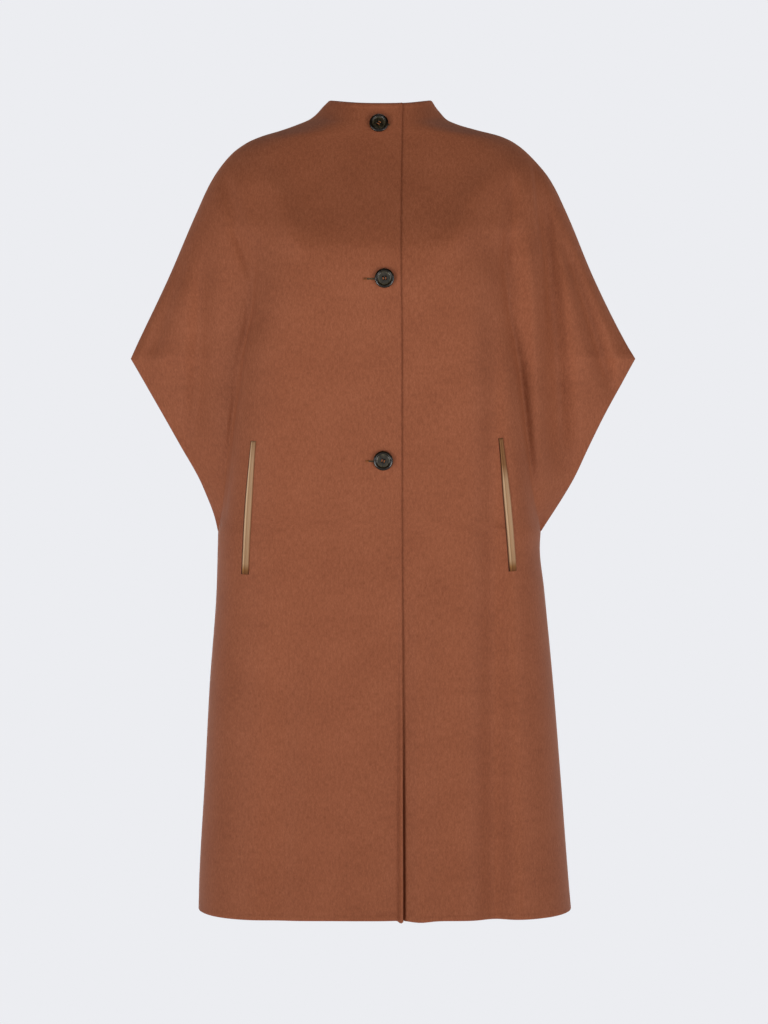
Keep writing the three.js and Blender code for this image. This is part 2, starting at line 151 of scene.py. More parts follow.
OVERARM = SideTable(
    z=(COLLAR_TOP, 26, 18, 10, 3, -5, -13, -21, -36, -68, -110, -196, -280, WING_TIP),
    right=(69, 77, 84, 94, 110, 132, 158, 176, 196, 220, 240, 277, 317, 326),
    left=(66, 71, 77.5, 85, 100, 127, 157, 173.5, 192, 219, 240, 276, 318, 330),
)
ARM_OPENING = SideTable(
    z=(WING_TIP, -332, -373, -415, -456, -477, -498, -512, UNDERARM),
    right=(326, 307, 283, 259, 236, 227, 219, 215, 212),
    left=(330, 312, 289, 268, 249, 237, 224, 215, 206.5),
)
SIDE_SEAM = SideTable(
    z=(UNDERARM, -545, -598, -723, -848, -972, HEM),
    right=(212, 212.5, 214, 223, 229.5, 236.5, 237.5),
    left=(206.5, 205.5, 211, 223, 233, 242.5, 246),
)
BODY_WIDTH = SideTable(
    z=(SHOULDER_FRONT, -80, -122, -172, -205, -250, -300, -365, -430, -495, UNDERARM),
    right=(190, 215, 230, 198, 186, 186, 192, 198, 203, 207, 212),
    left=(186, 211, 224, 188, 180, 179, 184, 191, 196, 202.5, 206.5),
)


@dataclass(frozen=True)
class Section:
    """Depths of a horizontal section; square is the power of its oval, 2 round and 6 flat."""

    z: float
    front: float
    back: float
    wing_front: float
    wing_back: float
    body_square: float
    wing_square: float


SECTIONS = (
    Section(COLLAR_TOP, 54.5, 62, 54.5, 62, 2.2, 2.7),
    Section(10, 61, 68, 61, 68, 2.2, 3.3),
    Section(-5, 65, 74, 65, 74, 2.2, 4.2),
    Section(-21, 69.5, 81, 69.5, 81, 2.4, 5.0),
    Section(SHOULDER_FRONT, 78.5, 89, 78.5, 89, 2.6, 4.8),
    Section(-80, 95, 98, 94, 94, 2.8, 4.2),
    Section(-120, 114, 104, 104, 94, 3.0, 3.3),
    Section(-150, 128, 107, 108, 93, 3.2, 2.8),
    Section(-170, 134.5, 108, 109, 92, 3.5, 2.6),
    Section(-205, 137.5, 108, 109, 90, 4.7, 2.3),
    Section(-250, 137, 108, 109, 88, 5.8, 2.2),
    Section(WING_TIP, 136, 108, 108, 84, 7.0, 2.2),
    Section(-365, 134.5, 108, 106, 80, 7.6, 2.6),
    Section(-430, 132.7, 108, 100, 74, 8.0, 3.0),
    Section(-495, 131, 108, 82, 60, 8.0, 6.0),
    Section(UNDERARM, 130.5, 109, 0, 0, 7.5, 8.0),
    Section(HEM, 127, 114, 0, 0, 6.0, 8.0),
)


@dataclass(frozen=True)
class OpeningRow:
    """How far each layer of the wing stands from the seam plane along its free edge."""

    z: float
    front: float
    back: float


OPENING_ROWS = (
    OpeningRow(WING_TIP, 0, 0),
    OpeningRow(-312, 2.5, 4),
    OpeningRow(-330, 7, 11),
    OpeningRow(-360, 15, 20),
    OpeningRow(-415, 22, 28),
    OpeningRow(-470, 15, 19),
    OpeningRow(-505, 6, 7),
    OpeningRow(UNDERARM, 0, 0),
)


@dataclass(frozen=True)
class Fold:
    """A soft trough (negative height) or ridge that runs down a face."""

    face: Face
    top_x: float
    top_z: float
    end_x: float
    end_z: float
    bow: float
    width: float
    end_width: float
    height: float
    end_height: float
    fade: float = 90.0

    def read(self, x: Array, z: Array) -> Array:
        """Height of the fold: a bell across its bowed line, eased in and out along it."""
        along = np.clip((z - self.top_z) / (self.end_z - self.top_z), 0.0, 1.0)
        centre = self.top_x + (self.end_x - self.top_x) * along + self.bow * 4.0 * along * (1.0 - along)
        width = self.width + (self.end_width - self.width) * along
        height = self.height + (self.end_height - self.height) * along
        start = ease(z, self.top_z, self.top_z - self.fade)
        finish = 1.0 if self.end_z <= HEM else ease(z, self.end_z, self.end_z + self.fade)
        return height * bell(x, centre, width) * start * finish


MAIN_FOLDS = (
    Fold(Face.FRONT, 203, -50, 229, -475, 7, 10, 20, -12, -20),
    Fold(Face.FRONT, 182, -110, 201, -500, 5, 11, 14, 6, 9, 80),
    Fold(Face.FRONT, 225, -120, 306, -365, 0, 8, 13, -10, -16, 60),
    Fold(Face.FRONT, 168, -60, 158, -200, 0, 7, 6, -4, -4, 40),
    Fold(Face.FRONT, -226, -140, -242, -450, 0, 13, 14, -9, -10),
    Fold(Face.FRONT, -248, -130, -314, -335, 0, 11, 13, -9, -10, 60),
    Fold(Face.FRONT, -204, -50, -166, -205, -2, 10, 8, -5, -5, 40),
    Fold(Face.FRONT, -146, -50, -98, -195, 0, 22, 18, 6, 6, 50),
    Fold(Face.FRONT, 134, -50, 84, -195, 0, 22, 18, 7, 7, 50),
    Fold(Face.FRONT, 142, -200, 144, HEM, 0, 17, 20, -10, -19),
    Fold(Face.FRONT, 50, -560, 52, HEM, 0, 14, 14, 4, 4),
    Fold(Face.FRONT, -118, -640, -132, HEM, 0, 20, 20, -4, -4),
    Fold(Face.BACK, -96, -230, -128, HEM, 0, 20, 20, -9, -9),
    Fold(Face.BACK, -20, -420, -30, HEM, 0, 24, 24, 6, 6),
    Fold(Face.BACK, 78, -260, 98, HEM, 0, 20, 20, -8, -8),
    Fold(Face.BACK, 214, -90, 226, -450, 0, 14, 14, -9, -12),
    Fold(Face.BACK, -216, -100, -230, -460, 0, 14, 14, -9, -12),
)


FRONT_EDGE_Z = (COLLAR_TOP, -145, -300, -434, -720, HEM)
FRONT_EDGE_X = (26.3, 23.6, 25.2, 25.2, 26.2, 27.0)


def front_edge(z: Array) -> Array:
    """Place across of the over front's edge at a height: it wavers a little."""
    return steady_curve(FRONT_EDGE_Z, FRONT_EDGE_X)(z)


@dataclass(frozen=True)
class Crease:
    """The thin line where a wing springs from the body: steep on the body's side of it."""

    z: tuple[float, ...]
    x: tuple[float, ...]
    depth: tuple[float, ...]
    inner_width: float = 2.6
    outer_width: float = 9.0

    def read(self, x: Array, z: Array) -> Array:
        """Height of the crease: a lopsided bell across its line, gone outside its heights."""
        line = steady_curve(self.z, self.x)(z)
        depth = steady_curve(self.z, self.depth)(z)
        outside = (x - line) * np.sign(line) > 0.0
        width = np.where(outside, self.outer_width, self.inner_width)
        return -depth * bell(x, line, width)


CREASES = (
    Crease((-150, -200, -231, -292, -345, -383, -436, -489, -515),
           (-158, -160, -162, -173.5, -181.0, -186.8, -192.6, -198.5, -201),
           (0, 3, 5.5, 8, 8.5, 8.5, 7, 5, 0), 2.4, 5.5),
    Crease((-60, -94, -147, -181, -223, -265, -299, -345, -398, -451, -497, -515),
           (168, 165.3, 157.7, 154.5, 159, 166.6, 172.9, 178, 184.3, 191.9, 196.3, 198),
           (0, 2, 2, 2, 2.5, 3, 3.5, 4.6, 3.5, 2.5, 2, 0), 3.0, 8.0),
    Crease((-40, -64, -117, -171, -230, -290), (193, 195.7, 200.2, 207, 211, 214),
           (0, 4, 5, 4.4, 3, 0), 2.0, 10.0),
)


@dataclass(frozen=True)
class Panel:
    """One cut piece of cloth and the grid it is made on."""

    name: str
    face: Face
    lap: Lap
    rows: int
    columns: int
    from_x: float | None = None
    to_x: float | None = None


@dataclass(frozen=True)
class CapeForm:
    """The worn form of the cape: every point of its outer side from a place and a height."""

    collar_dip: float = 9.0
    collar_dip_start: float = -40.0
    edge_drop: float = 2.7
    edge_drop_width: float = 3.2
    edge_drop_inset: float = 3.0
    edge_drop_start: float = -985.0
    hem_drop: float = 2.0
    under_drop: float = 1.8
    under_drop_x: float = 48.0
    under_drop_width: float = 16.0
    crease_blend: float = 8.0
    crease_end: float = 6.0
    lap_space: float = 0.5
    lap_ease: float = 40.0
    lap_level: float = 8.0

    def reach(self, x: Array, z: Array) -> Array:
        """Half width of the whole garment on the side of x: overarm, arm opening or side seam."""
        low = np.where(z >= UNDERARM, ARM_OPENING.read(x, z), SIDE_SEAM.read(x, z))
        return np.where(z >= WING_TIP, OVERARM.read(x, z), low)

    def centre_depth(self, face: Face, z: Array) -> Array:
        """Depth of a face at the centre line."""
        column = "front" if face is Face.FRONT else "back"
        return self._section(column, z)

    def _section(self, column: str, z: Array) -> Array:
        """One column of the sections' table at a height."""
        return steady_curve([s.z for s in SECTIONS], [getattr(s, column) for s in SECTIONS])(z)

    def depth(self, face: Face, x: Array, z: Array) -> Array:
        """Depth of a face before folds: the larger of the body's oval and the wing's.

        An oval's depth is its centre depth times (1 - share across to a power) to the half; the
        two run together softly along the crease, where the wing springs from the body.

        Args:
            face: front or back.
            x: places across.
            z: heights.

        Returns:
            Distances from the seam plane, in millimetres.
        """
        name = "front" if face is Face.FRONT else "back"
        reach = self.reach(x, z)
        across = np.clip(np.abs(x) / reach, 0.0, 1.0)
        body_depth = self._section(name, z)
        wing_depth = self._section(f"wing_{name}", z)
        body_square = self._section("body_square", z)
        wing_square = self._section("wing_square", z)
        opening = steady_curve(
            [row.z for row in OPENING_ROWS], [getattr(row, name) for row in OPENING_ROWS]
        )(z)
        opening = np.where((z < WING_TIP) & (z > UNDERARM), opening, 0.0)
        closing = 0.5 + 0.5 * ease(z, WING_TIP + 100.0, WING_TIP - 60.0)
        wing = opening + np.maximum(wing_depth - opening, 0.0) * (
            np.clip(1.0 - across**wing_square, 0.0, 1.0) ** closing
        )
        width = BODY_WIDTH.read(x, z)
        in_body = np.clip(np.abs(x) / width, 0.0, 1.0)
        body = body_depth * np.sqrt(np.clip(1.0 - in_body**body_square, 0.0, 1.0))
        full = self.crease_end + (self.crease_blend - self.crease_end) * ease(z, UNDERARM, WING_TIP)
        blend = full * ease(z, SHOULDER_FRONT, -100.0) * ease(z, UNDERARM, UNDERARM + 45.0)
        near_edge = ease(np.abs(x), reach, width)
        joined = soft_larger(body, wing, blend * near_edge)
        centre = soft_larger(body_depth, wing_depth, blend)
        joined = joined * body_depth / centre
        tube = body_depth * np.sqrt(np.clip(1.0 - across**body_square, 0.0, 1.0))
        return np.where(z > SHOULDER_FRONT, wing, np.where(z <= UNDERARM, tube, joined))

    def folds(self, face: Face, x: Array, z: Array) -> Array:
        """Sum of the face's folds, fading out towards the seams."""
        reach = self.reach(x, z)
        at_seam = np.maximum(ease(z, WING_TIP - 70.0, WING_TIP), ease(z, UNDERARM + 60.0, UNDERARM))
        inside = 1.0 - at_seam * (1.0 - ease(np.abs(x), reach, reach - 30.0))
        height = inside * sum(f.read(x, z) for f in MAIN_FOLDS if f.face is face)
        if face is Face.FRONT:
            height = height + sum(crease.read(x, z) for crease in CREASES)
        return height

    def lap_rise(self, lap: Lap, x: Array) -> Array:
        """Where the fronts lap, the over one is raised and the under one sunk by half the room."""
        half = (CLOTH + self.lap_space) / 2.0
        if lap is Lap.OVER:
            return half * ease(x, -LAP - self.lap_ease, -LAP - self.lap_level)
        if lap is Lap.UNDER:
            return -half * ease(x, LAP + self.lap_ease, LAP + self.lap_level)
        return np.zeros_like(x)

    def outer(self, panel: Panel, x: Array, z: Array, relief: Array | float = 0.0) -> Array:
        """Points of a panel's outer side.

        Args:
            panel: the panel they belong to.
            x: places across.
            z: heights in the flat layout.
            relief: further height of the surface, such as a turned edge.

        Returns:
            Points in millimetres, with X, Y and Z last.
        """
        form = self.depth(panel.face, x, z)
        lie = self.folds(panel.face, x, z) + self.lap_rise(panel.lap, x)
        y = form + lie + SEAM_GAP / 2.0 + relief
        height = np.array(z, dtype=float)
        if panel.face is Face.FRONT:
            share = form / self.centre_depth(Face.FRONT, z)
            height = height - self.collar_dip * ease(z, self.collar_dip_start, COLLAR_TOP) * share**2
            height = height - self.hem_drop * ease(z, HEM + 90.0, HEM) * share**2
        low = ease(z, self.edge_drop_start, HEM)
        if panel.lap is Lap.OVER:
            corner = front_edge(z) - self.edge_drop_inset
            height = height - self.edge_drop * low * bell((x - corner) ** 2, 0.0, self.edge_drop_width**2)
        if panel.lap is Lap.UNDER:
            height = height - self.under_drop * low * bell(x, self.under_drop_x, self.under_drop_width)
        return np.stack([x, panel.face.value * y, height], axis=-1)

    def on_face(self, panel: Panel, x: Array, z: Array, relief: Array | float = 0.0) -> Array:
        """Points of a panel's outer side at true heights, found by stepping the layout's height.

        Args:
            panel: the panel they belong to.
            x: places across.
            z: true heights.
            relief: further height of the surface.

        Returns:
            Points in millimetres.
        """
        flat = np.array(z, dtype=float)
        for _ in range(6):
            flat = flat + (z - self.outer(panel, x, flat)[..., 2])
        return self.outer(panel, x, flat, relief)

    def outward(self, panel: Panel, x: Array, z: Array) -> Array:
        """Outward directions of a front panel, from points a millimetre to each side."""
        across = self.on_face(panel, x + 1.0, z) - self.on_face(panel, x - 1.0, z)
        up = self.on_face(panel, x, z + 1.0) - self.on_face(panel, x, z - 1.0)
        normal = np.cross(across, up)
        return normal / np.linalg.norm(normal, axis=-1, keepdims=True)


def soft_larger(a: Array, b: Array, blend: Array) -> Array:
    """The larger of two depths, rounded over where they are within blend of each other."""
    near = np.maximum(blend - np.abs(a - b), 0.0) / np.maximum(blend, 1e-6)
    return np.maximum(a, b) + near * near * blend / 4.0


FORM = CapeForm()
PANELS = (
    Panel("front_right_cloth", Face.FRONT, Lap.OVER, 290, 118, to_x=LAP),
    Panel("front_left_cloth", Face.FRONT, Lap.UNDER, 290, 118, from_x=-LAP),
    Panel("back_cloth", Face.BACK, Lap.NONE, 270, 160),
)


def mesh_object(name: str, points: Array, faces: Array, uv: Array | None = None) -> bpy.types.Object:
    """A mesh object from points in millimetres.

    Args:
        name: the object's name.
        points: its points, one row each.
        faces: four corners a face, as indices into points.
        uv: a place in the cloth's own layout for each point, in metres.

    Returns:
        The object, smooth shaded and linked to the scene.
    """
    mesh = bpy.data.meshes.new(name)
    mesh.vertices.add(len(points))
    mesh.vertices.foreach_set("co", np.asarray(points * MM, dtype=np.float32).ravel())
    mesh.loops.add(faces.size)
    mesh.loops.foreach_set("vertex_index", faces.astype(np.int32).ravel())
    mesh.polygons.add(len(faces))
    starts = np.arange(len(faces), dtype=np.int32) * faces.shape[1]
    mesh.polygons.foreach_set("loop_start", starts)
    mesh.polygons.foreach_set("use_smooth", np.ones(len(faces), dtype=bool))
    if uv is not None:
        layer = mesh.uv_layers.new(name="layout")
        layer.data.foreach_set("uv", np.asarray(uv[faces.ravel()], dtype=np.float32).ravel())
    mesh.update(calc_edges=True)
    mesh.validate()
    shown = bpy.data.objects.new(name, mesh)
    bpy.context.scene.collection.objects.link(shown)
    return shown


def grid_faces(rows: int, columns: int, flip: bool = False, start: int = 0) -> Array:
    """Corners of the quads of a grid of points, row by row.

    Args:
        rows: number of rows of points.
        columns: number of points in a row.
        flip: whether the faces look the other way.
        start: index of the first point.

    Returns:
        Four indices a quad.
    """
    r, c = np.meshgrid(np.arange(rows - 1), np.arange(columns - 1), indexing="ij")
    a = start + r * columns + c
    quads = np.stack([a, a + columns, a + columns + 1, a + 1], axis=-1).reshape(-1, 4)
    return quads[:, ::-1] if flip else quads


@dataclass(frozen=True)
class ClothPanel:
    """A panel of double-faced cloth: a thin closed shell with soft turned edges."""

    panel: Panel
    rim_steps: int = 3
    trace_steps: int = 1500
    crease_closer: float = 2.2
    crease_zone: float = 42.0
    edge_closer: float = 5.0
    edge_zone: float = 9.0
    arm_lean: float = 0.86
    stitch_line: float = 6.6
    edge_band: float = 0.35
    edge_curl: float = 0.9
    curl_reach: float = 2.2

    def heights(self) -> Array:
        """Heights of the rows, closer at the collar's top, the shoulders and the hem."""
        z = np.linspace(COLLAR_TOP, HEM, 4000)
        weight = 1.0 + 3.0 * bell(z, COLLAR_TOP, 8.0) + 4.0 * bell(z, HEM, 9.0)
        weight += 2.6 * bell(z, -8.0, 22.0) + 0.8 * bell(z, UNDERARM, 30.0)
        length = np.concatenate([[0.0], np.cumsum((weight[1:] + weight[:-1]) / 2.0)])
        even = np.interp(np.linspace(0.0, length[-1], self.panel.rows + 1), length, z)
        for turn in (WING_TIP, UNDERARM):
            even[np.argmin(np.abs(even - turn))] = turn
        return even

    def places(self, heights: Array) -> Array:
        """Places across each row, at equal weighted lengths along the cloth.

        Args:
            heights: the rows' heights.

        Returns:
            X of each grid point, a row for each height.
        """
        z = heights[:, None]
        right = FORM.reach(np.full_like(z, -1.0), z)
        left = FORM.reach(np.full_like(z, 1.0), z)
        start, end = -math.pi / 2.0, math.pi / 2.0
        first, last = np.full_like(z, start), np.full_like(z, end)
        if self.panel.from_x is not None:
            first = np.arcsin(self.panel.from_x / right)
        if self.panel.to_x is not None:
            last = np.arcsin(front_edge(z) / left)
        turn = np.sin(first + (last - first) * np.linspace(0.0, 1.0, self.trace_steps + 1))
        x = turn * np.where(turn < 0.0, right, left)
        grid_z = np.broadcast_to(z, x.shape)
        points = FORM.outer(self.panel, x, grid_z)
        step = np.linalg.norm(np.diff(points, axis=1), axis=2)
        weighted = step * self._closeness(x, grid_z)[:, 1:]
        length = np.concatenate([np.zeros_like(z), np.cumsum(weighted, axis=1)], axis=1)
        goals = np.linspace(0.0, 1.0, self.panel.columns + 1)
        rows = [np.interp(goals * row[-1], row, place) for row, place in zip(length, x)]
        return np.array(rows)

    def _closeness(self, x: Array, z: Array) -> Array:
        """How much closer together the columns stand: at the crease and at the panel's edges."""
        reach = FORM.reach(x, z)
        width = np.where(z > UNDERARM, BODY_WIDTH.read(x, z), reach)
        close = 1.0 + (self.crease_closer - 1.0) * bell(np.abs(x), width, self.crease_zone)
        close += (self.edge_closer - 1.0) * bell(np.abs(x), reach, self.edge_zone)
        if self.panel.to_x is not None:
            close += (self.edge_closer - 1.0) * bell(x, front_edge(z), self.edge_zone)
        if self.panel.from_x is not None:
            close += (self.edge_closer - 1.0) * bell(x, self.panel.from_x, self.edge_zone)
            close += (self.edge_closer - 1.0) * bell(x, front_edge(z) + 1.1, self.edge_zone)
        return close

    def edge_distance(self, x: Array, z: Array) -> Array:
        """Distance along the cloth to the nearest free edge: hem, collar, front or arm opening."""
        away = np.minimum(z - HEM, COLLAR_TOP - z)
        arm = (FORM.reach(x, z) - np.abs(x)) * self.arm_lean
        arm = np.where((z < WING_TIP) & (z > UNDERARM), arm, 1e3)
        away = np.minimum(away, arm)
        if self.panel.to_x is not None:
            away = np.minimum(away, front_edge(z) - x)
        if self.panel.from_x is not None:
            away = np.minimum(away, x - self.panel.from_x)
        return np.maximum(away, 0.0)

    def relief(self, x: Array, z: Array) -> Array:
        """Turned edges stand a little proud, curl in at the very edge and end in a stitched line.

        They run out to nothing beside a closed seam, so that the two panels still meet there.

        Args:
            x: places across.
            z: heights.

        Returns:
            Heights above the plain form, in millimetres.
        """
        away = self.edge_distance(x, z)
        band = self.edge_band * ease(away, self.stitch_line + 0.8, self.stitch_line - 1.0)
        line = -0.25 * bell(away, self.stitch_line, 0.9)
        curl = -self.edge_curl * ease(away, self.curl_reach, 0.0) ** 2
        closed = (z >= WING_TIP) | (z <= UNDERARM)
        at_seam = np.where(closed, ease(FORM.reach(x, z) - np.abs(x), 8.0, 0.5), 0.0)
        return (band + line + curl) * (1.0 - at_seam) + self._front_lie(x, z)

    def _front_lie(self, x: Array, z: Array) -> Array:
        """How the lapped edges lie towards the hem.

        The over front has a raised band at its edge with a valley inside it, and the under front
        sinks beside that edge, in a slope with a narrow dark groove at its foot.

        Args:
            x: places across.
            z: heights.

        Returns:
            Heights above the plain form, in millimetres.
        """
        low = ease(z, -480.0, -930.0)
        lowest = ease(z, -700.0, -950.0)
        edge = front_edge(z)
        if self.panel.lap is Lap.OVER:
            foot = edge - 4.6
            width = np.where(x < foot, 15.0, 1.7)
            band = 0.3 * ease(x, foot - 0.6, foot + 0.4)
            return band - low * (3.6 * bell(x, foot, width) + 1.6 * bell(x, foot - 0.6, 1.4))
        if self.panel.lap is Lap.UNDER:
            foot = edge + 1.0
            slope = -2.8 * low * bell(x, foot, np.where(x < foot, 14.0, 10.0))
            return slope - (0.1 + 4.8 * lowest) * bell(x, foot, 0.8 + 0.3 * lowest)
        return np.zeros_like(x)

    def build(self) -> bpy.types.Object:
        """Makes the panel's mesh and returns its object."""
        heights = self.heights()
        x = self.places(heights)
        z = np.broadcast_to(heights[:, None], x.shape)
        outer = FORM.outer(self.panel, x, z, self.relief(x, z))
        inner = outer - CLOTH * self._normals(outer, z)
        return self._shell(outer, inner, z)

    def cut(self) -> tuple[float, float, float]:
        """Flat width, length and area of the cloth, from lengths along the unfolded form, in metres."""
        heights = self.heights()
        x = self.places(heights)
        z = np.broadcast_to(heights[:, None], x.shape)
        points = FORM.outer(self.panel, x, z) * MM
        across = np.linalg.norm(np.diff(points, axis=1), axis=2)
        down = np.linalg.norm(np.diff(points, axis=0), axis=2)
        widths = across.sum(axis=1)
        step = down.mean(axis=1)
        area = float(((widths[1:] + widths[:-1]) / 2.0 * step).sum())
        centre = np.argmin(np.abs(x[len(x) // 2]))
        return round(float(widths.max()), 3), round(float(down[:, centre].sum()), 3), round(area, 3)

    def _normals(self, outer: Array, z: Array) -> Array:
        """Outward directions of the grid, level with the seam plane on closed seams."""
        down = np.gradient(outer, axis=0)
        across = np.gradient(outer, axis=1)
        normal = -self.panel.face.value * np.cross(down, across)
        closed = (z[:, 0] >= WING_TIP) | (z[:, 0] <= UNDERARM)
        if self.panel.from_x is None:
            normal[closed, 0, 1] = 0.0
        if self.panel.to_x is None:
            normal[closed, -1, 1] = 0.0
        return normal / np.linalg.norm(normal, axis=2, keepdims=True)

    def _shell(self, outer: Array, inner: Array, z: Array) -> bpy.types.Object:
        """Closes the outer and inner grids with a rim, half round on the free edges."""
        rows, columns = outer.shape[:2]
        count = rows * columns
        index = np.arange(count).reshape(rows, columns)
        loop = np.concatenate([index[0, :-1], index[:-1, -1], index[-1, :0:-1], index[:0:-1, 0]])
        inward = np.zeros_like(outer)
        inward[:, 0] += outer[:, 1] - outer[:, 0]
        inward[:, -1] += outer[:, -2] - outer[:, -1]
        inward[0] += outer[1] - outer[0]
        inward[-1] += outer[-2] - outer[-1]
        free = np.ones((rows, columns))
        closed = (z[:, 0] >= WING_TIP) | (z[:, 0] <= UNDERARM)
        if self.panel.from_x is None:
            free[closed, 0] = 0.0
        if self.panel.to_x is None:
            free[closed, -1] = 0.0
        flat_outer, flat_inner = outer.reshape(-1, 3), inner.reshape(-1, 3)
        edge = inward.reshape(-1, 3)[loop]
        edge = -edge / np.maximum(np.linalg.norm(edge, axis=1, keepdims=True), 1e-9)
        middle = (flat_outer[loop] + flat_inner[loop]) / 2.0
        half = (flat_outer[loop] - flat_inner[loop]) / 2.0
        bulge = edge * (CLOTH / 2.0) * free.reshape(-1)[loop][:, None]
        angles = np.pi * np.arange(1, self.rim_steps + 1) / (self.rim_steps + 1)
        rims = [middle + np.cos(a) * half + np.sin(a) * bulge for a in angles]
        points = np.concatenate([flat_outer, flat_inner] + rims)
        rings = [loop] + [2 * count + i * len(loop) + np.arange(len(loop)) for i in range(self.rim_steps)]
        rings.append(count + loop)
        flip = self.panel.face is Face.BACK
        faces = [grid_faces(rows, columns, flip), grid_faces(rows, columns, not flip, count)]
        for near, far in zip(rings[:-1], rings[1:]):
            quads = np.stack([near, np.roll(near, -1), np.roll(far, -1), far], axis=-1)
            faces.append(quads[:, ::-1] if flip else quads)
        layout = self._layout(outer, z).reshape(-1, 2)
        uv = np.concatenate([layout, layout] + [layout[loop]] * self.rim_steps)
        return mesh_object(self.panel.name, points, np.concatenate(faces), uv)

    def _layout(self, outer: Array, z: Array) -> Array:
        """Flat layout of the cloth: length along the row from the centre line, and down the cloth."""
        step = np.linalg.norm(np.diff(outer, axis=1), axis=2)
        along = np.concatenate([np.zeros((len(outer), 1)), np.cumsum(step, axis=1)], axis=1)
        zero = np.array([np.interp(0.0, row, length) for row, length in zip(outer[..., 0], along)])
        fall = np.linalg.norm(np.diff(outer, axis=0), axis=2).mean(axis=1)
        down = np.concatenate([[0.0], np.cumsum(fall)])[:, None]
        return np.stack([along - zero[:, None], np.broadcast_to(-down, along.shape)], axis=-1) * MM


def strip_object(name: str, outer: Array, inner: Array, uv: Array) -> bpy.types.Object:
    """A closed strip between an outer and an inner grid of points.

    Args:
        name: the object's name.
        outer: grid of points of the side that shows.
        inner: grid of points below it.
        uv: a place in the strip's layout for each grid point, in metres.

    Returns:
        The object.
    """
    rows, columns = outer.shape[:2]
    count = rows * columns
    index = np.arange(count).reshape(rows, columns)
    loop = np.concatenate([index[0, :-1], index[:-1, -1], index[-1, :0:-1], index[:0:-1, 0]])
    sides = np.stack([loop, np.roll(loop, -1), np.roll(loop, -1) + count, loop + count], axis=-1)
    faces = np.concatenate([grid_faces(rows, columns), grid_faces(rows, columns, True, count), sides])
    points = np.concatenate([outer.reshape(-1, 3), inner.reshape(-1, 3)])
    layout = uv.reshape(-1, 2)
    return mesh_object(name, points, faces, np.concatenate([layout, layout]))


def tube_points(path: Array, frame_a: Array, frame_b: Array, radius: Array, around: int) -> Array:
    """Rings of points round a path: radius times (cosine of a, plus sine of b) of the turn.

    Args:
        path: points of the middle line.
        frame_a: unit directions across the path.
        frame_b: unit directions across the path and frame_a.
        radius: radius at each point of the path.
        around: number of points in a ring.

    Returns:
        Points, a ring for each point of the path.
    """
    turn = np.linspace(0.0, 2.0 * math.pi, around, endpoint=False)
    ring = np.cos(turn)[None, :, None] * frame_a[:, None] + np.sin(turn)[None, :, None] * frame_b[:, None]
    return path[:, None] + radius[:, None, None] * ring


def ring_faces(rings: int, around: int, closed: bool, start: int = 0) -> Array:
    """Quads between rings of points, and back to the first ring where the tube is closed."""
    r, c = np.meshgrid(np.arange(rings if closed else rings - 1), np.arange(around), indexing="ij")
    near, far = (r % rings) * around, ((r + 1) % rings) * around
    after = (c + 1) % around
    return (start + np.stack([near + c, near + after, far + after, far + c], axis=-1)).reshape(-1, 4)


@dataclass(frozen=True)
class Welt:
    """A slanted pocket welt, with a low strip of painted shade for the pocket's mouth along its outer side.
    """

    name: str
    panel: Panel
    top: tuple[float, float]
    end: tuple[float, float]
    bow: float
    top_share: float
    width: float = 8.5
    height: float = 1.5
    rows: int = 180
    columns: int = 40
    # width of the low strip that carries the painted shade of the pocket's mouth
    mouth: float = 1.5

    def build(self) -> bpy.types.Object:
        """Makes the strip: a rolled outer edge, a fine groove, a flat tan face and, past the rolled edge, a
        low strip that carries the painted shade of the pocket's mouth.
        """
        v = np.linspace(0.0, 1.0, self.rows)[:, None]
        reach = 1.0 + 2.0 * self.mouth / self.width
        u = np.linspace(-reach, 1.0, self.columns)[None, :] * np.ones_like(v)
        lean = np.array([self.end[0] - self.top[0], self.end[1] - self.top[1]])
        length = float(np.hypot(*lean))
        lean = lean / length
        half = self.width / 2.0 * (self.top_share + (1.0 - self.top_share) * ease(v, 0.0, 0.5))
        x = self.top[0] + lean[0] * length * v - lean[1] * u * half
        x = x + self.bow * 4.0 * v * (1.0 - v)
        z = self.top[1] + lean[1] * length * v + lean[0] * u * half
        ends = ease(v, 0.0, 0.012) * ease(v, 1.0, 0.988)
        face = self.height * np.sqrt(np.clip(1.0 - np.abs(u) ** 6, 0.0, 1.0))
        roll = 0.45 * bell(u, -0.62, 0.26) - 0.35 * bell(u, -0.3, 0.07)
        # past the rolled edge the strip lies flat on the cloth: it only carries the mouth's painted shade
        inside = np.where(u >= -1.0, 1.0, 0.0)
        rise = 0.12 + inside * (face + roll) * (0.35 + 0.65 * ends)
        out = FORM.outward(self.panel, x, z)
        base = FORM.on_face(self.panel, x, z)
        uv = np.stack([(u + 2.0) / 4.0, np.broadcast_to(v, u.shape)], axis=-1)
        return strip_object(self.name, base + rise[..., None] * out, base + 0.04 * out, uv)


